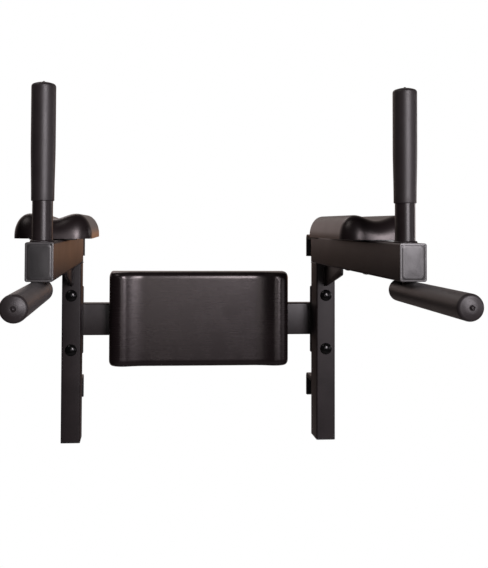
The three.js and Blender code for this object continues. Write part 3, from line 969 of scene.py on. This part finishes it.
def weldBead(side, joint, paths, closed=False):
    # overlapping ripples along each path: the bead's radius steps down once each pitch
    look = beadLook
    name = f"{side}{joint}Weld"
    samples = look["samples"]
    start = look["startSize"]
    curve = bpy.data.curves.new(name, "CURVE")
    curve.dimensions = "3D"
    curve.bevel_depth = beadRadii[joint] * millimetre
    curve.bevel_resolution = 2
    curve.use_fill_caps = True
    for points in paths:
        dense = denser(points, look["pitch"] / samples, closed)
        line = curve.splines.new("POLY")
        line.points.add(len(dense) - 1)
        line.use_cyclic_u = closed
        for i, (point, spot) in enumerate(zip(line.points, dense)):
            ripple = 1 - look["ripple"] * (i % samples) / samples
            fromEnd = min(i, len(dense) - 1 - i) / (2 * samples)
            fade = 1.0 if closed else min(1.0, start + (1 - start) * fromEnd)
            wobble = 1 + look["wobble"] * noise.noise(spot * look["wobbleScale"])
            point.co = (*(spot * millimetre), 1)
            point.radius = ripple * fade * wobble
    holder = addObject(name, curve)
    mesh = finalMesh(holder)
    bpy.data.objects.remove(holder)
    for polygon in mesh.polygons:
        polygon.use_smooth = True
    settle(addObject(name, mesh), "powder_coat")


def denser(points, spacing, closed):
    spots = [Vector(p) for p in points]
    if closed:
        spots.append(spots[0])
    dense = []
    for start, end in zip(spots, spots[1:]):
        count = max(1, round((end - start).length / spacing))
        dense += [start.lerp(end, i / count) for i in range(count)]
    if not closed:
        dense.append(spots[-1])
    return dense


def ringPath(x, y, z, radius, steps=60):
    turns = [tau * i / steps for i in range(steps)]
    return [(x + radius * cos(a), y + radius * sin(a), z) for a in turns]


def makeBeads(side):
    look = beadLook
    proud = look["proud"]
    inset = look["inset"]
    short = look["shortInset"]
    gap = look["gap"]
    armLow, armHigh, _ = nodeBox(f"{side}_arm")
    columnLow, columnHigh, _ = nodeBox(f"{side}_column")
    foot = nodeBox(f"{side}_handle_tube")[2]
    out, up = look["handleProud"]
    ring = ringPath(foot.x, foot.y, armHigh.z + up, barRadius(side) + out)
    weldBead(side, "Handle", [ring], closed=True)
    # across the column on both sides of the gusset, and along the gusset's two legs
    low, high, _ = nodeBox(f"{side}_gusset")
    clip = gussetLook["clip"]
    under = armLow.z - look["cornerProud"]
    front = columnLow.y - look["cornerProud"]
    lines = []
    for near, far in ((columnLow.x + inset, low.x - gap), (high.x + gap, columnHigh.x - inset)):
        lines.append([(near, front, under), (far, front, under)])
    for edge in (low.x - proud, high.x + proud):
        lines.append([(edge, front - clip, under), (edge, low.y + short, under)])
        lines.append([(edge, front, under - clip), (edge, front, low.z + inset)])
    weldBead(side, "Corner", lines)
    lines = []
    for edge in (columnLow.x, columnHigh.x):
        lines.append([(edge, columnLow.y + short, armLow.z), (edge, columnHigh.y - gap, armLow.z)])
    weldBead(side, "Seam", lines)
    front = nodeBox(f"{side}_upper_hook")[0].y
    top = armHigh.z + proud
    level = top - look["hookDown"]
    lines = []
    for edge in (armLow.x - proud, armHigh.x + proud):
        lines.append([(edge, front + inset, level), (edge, -short, level)])
    lines.append([(armLow.x + inset, front - proud, top), (armHigh.x - inset, front - proud, top)])
    weldBead(side, "UpperHook", lines)
    low, high, _ = nodeBox(f"{side}_lower_hook")
    front = low.y + proud
    top = high.z + proud
    seam = [(columnLow.x + short, front, top), (columnHigh.x - short, front, top)]
    weldBead(side, "LowerHook", [seam])
    low, high, post = nodeBox(f"{side}_dip_post")
    ring = ringPath(post.x, post.y, high.z - look["postDown"], (high.x - low.x) / 2 + proud)
    weldBead(side, "DipPost", [ring], closed=True)


def makeCrossbarBeads(side):
    inset = beadLook["inset"]
    proud = beadLook["proud"]
    crossLow, crossHigh, _ = nodeBox("crossbar")
    low, high, _ = nodeBox(f"{side}_end_plate")
    rear = high.y + proud
    lines = []
    for level in (crossLow.z - proud, crossHigh.z + proud):
        lines.append([(low.x + inset, rear, level), (high.x - inset, rear, level)])
    weldBead(side, "Crossbar", lines)


for side in sides:
    makeBeads(side)
for side in sides:
    makeCrossbarBeads(side)
print("weld beads made")

# Pads: a moulded section is drawn out along each pad, and its ends are rounded in plan and in side view

armPadLook = {
    "side": 5.0,
    "crest": 37.5, "crestSteps": 14,
    "trough": 9.0, "troughSteps": 14,
    "bow": 3.0,
    "endLength": 28.0, "endAcross": 29.0, "endDrop": 41.0,
}
backPadLook = {
    "wallSteps": 6,
    "sideRound": 25.0, "sideSteps": 14,
    "crestRound": 35.0, "crestTilt": 20.0, "crestSteps": 5,
    "dishRound": 120.0, "dishSteps": 9,
    "panelTilt": 3.5, "panelCrown": 0.8, "panelSteps": 34,
    "bow": 0.0,
    "endLength": 12.5, "endAcross": 7.0, "endDrop": 12.5,
}
padLook = {"fill": 0.95, "drawIn": 0.8, "spacing": 3.0, "endRings": 1.4, "sharpAngle": 60}


def armPadHalf(look, width, height):
    # from the base's edge over one hump to the middle of the trough, as (across, up) points
    edge = width / 2
    reach = edge - look["crest"]
    rise = height - look["side"]
    half = [(edge, 0), (edge, look["side"] / 2)]
    for i in range(look["crestSteps"] + 1):
        angle = radians(90 * i / look["crestSteps"])
        half.append((edge - reach + reach * cos(angle), look["side"] + rise * sin(angle)))
    for share in shares(look["troughSteps"]):
        drop = look["trough"] * 0.5 * (1 - cos(pi * share))
        half.append((look["crest"] * (1 - share), height - drop))
    return half


def backPadHalf(look, width, height):
    # from the base's edge up the side, over the crest and down a long hollow to the panel's middle
    edge = width / 2
    side = look["sideRound"]
    crest = look["crestRound"]
    tilt = look["crestTilt"]
    dish = look["dishRound"]
    steps = look["wallSteps"]
    half = [(edge, (height - side) * i / steps) for i in range(steps)]
    half += arc((edge - side, height - side), side, 0, 90, look["sideSteps"])
    half += arc((edge - side, height - crest), crest, 90, 90 + tilt, look["crestSteps"])[1:]
    across, up = half[-1]
    slope = radians(tilt)
    centre = (across - dish * sin(slope), up + dish * cos(slope))
    half += arc(centre, dish, -90 + tilt, -90 + look["panelTilt"], look["dishSteps"])[1:]
    panelEdge, panelUp = half[-1]
    for share in shares(look["panelSteps"]):
        across = panelEdge * (1 - share)
        half.append((across, panelUp + look["panelCrown"] * (1 - (across / panelEdge) ** 2)))
    return half


def endRings(look, width, height, length):
    # each ring's scale across and up, its place along the pad and its bow, from one end's base to the
    # other's
    long = look["endLength"]
    drop = look["endDrop"]
    bow = look["bow"]
    spacing = padLook["spacing"]
    narrow = 2 * look["endAcross"] / width
    wall = height - drop
    steps = round(wall / spacing)
    rings = [(1 - narrow, wall * i / steps / height, 0, bow) for i in range(steps)]
    steps = round(padLook["endRings"] * (long + drop) / 2 / spacing)
    for i in range(steps + 1):
        angle = pi / 2 * i / steps
        along = long * (1 - cos(angle))
        across = 1 - narrow * (1 - sqrt(max(0, 1 - (1 - along / long) ** 2)))
        rings.append((across, (wall + drop * sin(angle)) / height, along, bow * cos(angle)))
    steps = round((length - 2 * long) / spacing)
    rings += [(1, 1, long + (length - 2 * long) * i / steps, 0) for i in range(1, steps)]
    far = [(across, up, length - along, -bow) for across, up, along, bow in rings[:-steps + 1]]
    return rings + far[::-1]


def alongChain(edges, start):
    # the vertices of an open chain of edges, in order, from a vertex at its end
    left = set(edges)
    verts = [start]
    while left:
        edge = next(link for link in verts[-1].link_edges if link in left)
        left.discard(edge)
        verts.append(edge.other_vert(verts[-1]))
    return verts


def padShape(half, rings):
    section = half + [(-across, up) for across, up in half[-2::-1]]
    shape = bmesh.new()
    verts = [shape.verts.new((across, 0, 0)) for across, up in section]
    edges = [shape.edges.new(pair) for pair in zip(verts, verts[1:])]
    edge = section[0][0]
    for i, (wide, high, along, bow) in enumerate(rings):
        if i > 0:
            made = bmesh.ops.extrude_edge_only(shape, edges=edges)
            edges = edgesOf(made["geom"])
            drawn = [link.other_vert(verts[0]) for link in verts[0].link_edges]
            verts = alongChain(edges, next(vert for vert in drawn if vert in made["geom"]))
        for vert, (across, up) in zip(verts, section):
            # the sides are drawn in more than the crests
            share = abs(across) / edge
            drawn = across * (1 - (1 - wide) * share ** padLook["drawIn"])
            vert.co = (drawn, up * high, along + bow * (drawn / edge) ** 2)
    bmesh.ops.remove_doubles(shape, verts=shape.verts, dist=1e-3)
    rim = [edge for edge in shape.edges if len(edge.link_faces) == 1]
    bmesh.ops.contextual_create(shape, geom=rim)
    return shape


def makePad(node, half, look, place, size, finish=None):
    width, height, length = size
    shape = padShape(half(look, width, height), endRings(look, width, height, length))
    piece = makePiece(node, shape, "pad_skin", place, sharpAngle=padLook["sharpAngle"], finish=finish)


for side in sides:
    low, high, middle = nodeBox(f"{side}_arm_pad")
    x, y, z = spans(low, high)
    place = turnedTo(-xAxis, zAxis, yAxis, (middle.x, low.y, low.z))
    makePad(f"{side}_arm_pad", armPadHalf, armPadLook, place, (x, z, y), armSkin)
low, high, middle = nodeBox("back_pad")
place = turnedTo(-xAxis, -yAxis, zAxis, (middle.x, high.y, low.z))
makePad("back_pad", backPadHalf, backPadLook, place, spans(low, high))
print("pads made")

# Studio: camera, lamps, sky and floor

cameraView = {
    "imageSize": (488, 568),
    "focalPixels": 794.3,
    "axisPixel": (195, 202.1),
    "place": (-128.36, -1730.77, 31.50),
    "yaw": 3.987, "pitch": -1.636, "roll": 0.264,
    "sensorWidth": 36, "clip": (0.05, 50),
}


def makeCamera():
    look = cameraView
    width, height = look["imageSize"]
    data = bpy.data.cameras.new("camera")
    data.sensor_width = look["sensorWidth"]
    data.lens = look["focalPixels"] / height * data.sensor_width
    data.shift_x = (width / 2 - look["axisPixel"][0]) / height
    data.shift_y = -(height / 2 - look["axisPixel"][1]) / height
    data.clip_start, data.clip_end = look["clip"]
    camera = addObject("camera", data)
    heading = Matrix.Rotation(-radians(look["yaw"]), 4, "Z")
    tilt = Matrix.Rotation(radians(90 - look["pitch"]), 4, "X")
    roll = Matrix.Rotation(radians(look["roll"]), 4, "Z")
    camera.matrix_world = Matrix.Translation(Vector(look["place"]) * millimetre) @ heading @ tilt @ roll
    bpy.context.scene.camera = camera


# place, aim and size in metres, watts and tint
lamps = {
    "softboxRight": ((0.80, -3.2, 0.66), (0.05, -0.4, 0), (0.8, 1.1), 76, (1, 0.93, 0.98)),
    "frontFill": ((-0.12, -3.2, -0.25), (0, 0, -0.15), (0.5, 0.6), 3, (1, 0.94, 0.94)),
    "softboxLow": ((1.35, -3.1, -0.05), (0.3, -0.6, -0.05), (0.6, 0.4), 13, (1, 0.94, 1)),
    "sideRight": ((2.4, -1.4, 0.0), (0, -0.5, 0), (1.4, 1.2), 5, (1, 0.94, 1)),
    "softboxAbove": ((-1.5, -0.8, 1.9), (0, -0.3, 0), (1, 1), 6, (1, 0.95, 0.92)),
    "backFill": ((-0.9, 2.8, 2.2), (0, 0, -0.1), (1.6, 1.2), 8, (1, 0.94, 0.92)),
    "rimRight": ((2.8, 1.0, 0.2), (0, -0.3, 0), (0.8, 0.8), 8, (1, 0.94, 0.96)),
}


def makeLamps():
    for name, (place, aim, size, watts, tint) in lamps.items():
        data = bpy.data.lights.new(name, "AREA")
        data.shape = "RECTANGLE"
        data.size, data.size_y = size
        data.energy = watts
        data.color = tint
        lamp = addObject(name, data)
        lamp.location = place
        lamp.rotation_mode = "QUATERNION"
        lamp.rotation_quaternion = (Vector(aim) - Vector(place)).to_track_quat("-Z", "Y")


white = (1, 1, 1, 1)
skyLook = {
    "dim": (0.005, 0.004, 0.004, 1),
    "pale": (0.38, 0.32, 0.30, 1),
    "paleLeft": (0.68, 0.55, 0.52, 1),
    "warm": (1.05, 0.52, 0.28, 1),
    "warmShade": (0.035, 0.022, 0.018, 1),
    "ground": (0.26, 0.21, 0.20, 1),
    "behindFade": (0.35, 0.8),
    "highFade": (0.499, 0.515),
    "glowFade": (0.46, 0.495),
    "rightFade": (0.40, 0.53),
    "lowFade": (0.385, 0.40),
}


def makeWorld():
    # what the finishes mirror: pale behind the object, warm lower down, dim elsewhere; the camera sees
    # only white
    look = skyLook
    world = bpy.data.worlds.new("studio")
    bpy.context.scene.world = world
    sky = Finish("studio", material=world)
    ray = sky.node("ShaderNodeTexCoord", output="Generated")
    x, y, z = (sky.node("ShaderNodeSeparateXYZ", sockets={"Vector": ray}, output=axis) for axis in "XYZ")
    up = z * 0.5 + 0.5
    behind = sky.ramp(y, *look["behindFade"])
    high = sky.ramp(up, *look["highFade"])
    glow = sky.ramp(up, *look["glowFade"])
    low = sky.ramp(up, *look["lowFade"])
    right = sky.ramp(x * 0.5 + 0.5, *look["rightFade"])
    band = sky.mixed(glow * right, look["warmShade"], look["warm"])
    above = sky.mixed(right, look["paleLeft"], look["pale"])
    back = sky.mixed(high, sky.mixed(low, look["ground"], band), above)
    color = sky.mixed(behind, look["dim"], back)
    cameraRay = sky.node("ShaderNodeLightPath", output="Is Camera Ray")
    mirrored = sky.node("ShaderNodeBackground", sockets={"Color": color, "Strength": 1.0})
    seen = sky.node("ShaderNodeBackground", sockets={"Color": white, "Strength": 1.0})
    shown = sky.node("ShaderNodeMixShader", sockets={0: cameraRay, 1: mirrored, 2: seen})
    sky.node("ShaderNodeOutputWorld", sockets={"Surface": shown})


# in metres; it fades to white for the camera, and bounce is its grey in the light that it throws back
floorLook = {
    "middle": (0, -0.2, -1.25), "radius": 1.35,
    "fadeFrom": 0.4, "fadeTo": 0.97,
    "color": 0.82, "bounce": 0.25, "pale": 0.6,
}


def makeFloor():
    look = floorLook
    middle = Vector(look["middle"])
    shape = bmesh.new()
    bmesh.ops.create_circle(shape, cap_ends=True, segments=96, radius=look["radius"])
    bmesh.ops.translate(shape, vec=middle, verts=shape.verts)
    floor = addShape("floor", shape, unit=1)
    paint = Finish("paleFloor")
    spot = paint.node("ShaderNodeMapping", {"vector_type": "POINT"}, {
        "Vector": paint.place(), "Location": -middle})
    reach = paint.node("ShaderNodeVectorMath", {"operation": "LENGTH"}, {0: spot}, output="Value")
    fade = paint.node("ShaderNodeMapRange", {"interpolation_type": "SMOOTHSTEP"}, {
        "Value": reach, "From Min": look["fadeFrom"], "From Max": look["radius"] * look["fadeTo"]})
    cameraRay = paint.node("ShaderNodeLightPath", output="Is Camera Ray")
    color = paint.mixed(cameraRay, grey(look["bounce"]), grey(look["color"]))
    matt = paint.node("ShaderNodeBsdfDiffuse", sockets={"Color": color})
    glow = paint.node("ShaderNodeEmission", sockets={"Color": white, "Strength": 1.0})
    pale = (fade * (1 - look["pale"]) + look["pale"]) * cameraRay
    shown = paint.node("ShaderNodeMixShader", sockets={0: pale, 1: matt, 2: glow})
    paint.node("ShaderNodeOutputMaterial", sockets={"Surface": shown})
    floor.data.materials.append(paint.material)


makeCamera()
makeLamps()
makeWorld()
makeFloor()
bpy.context.scene.view_settings.view_transform = "Standard"
print("studio made")
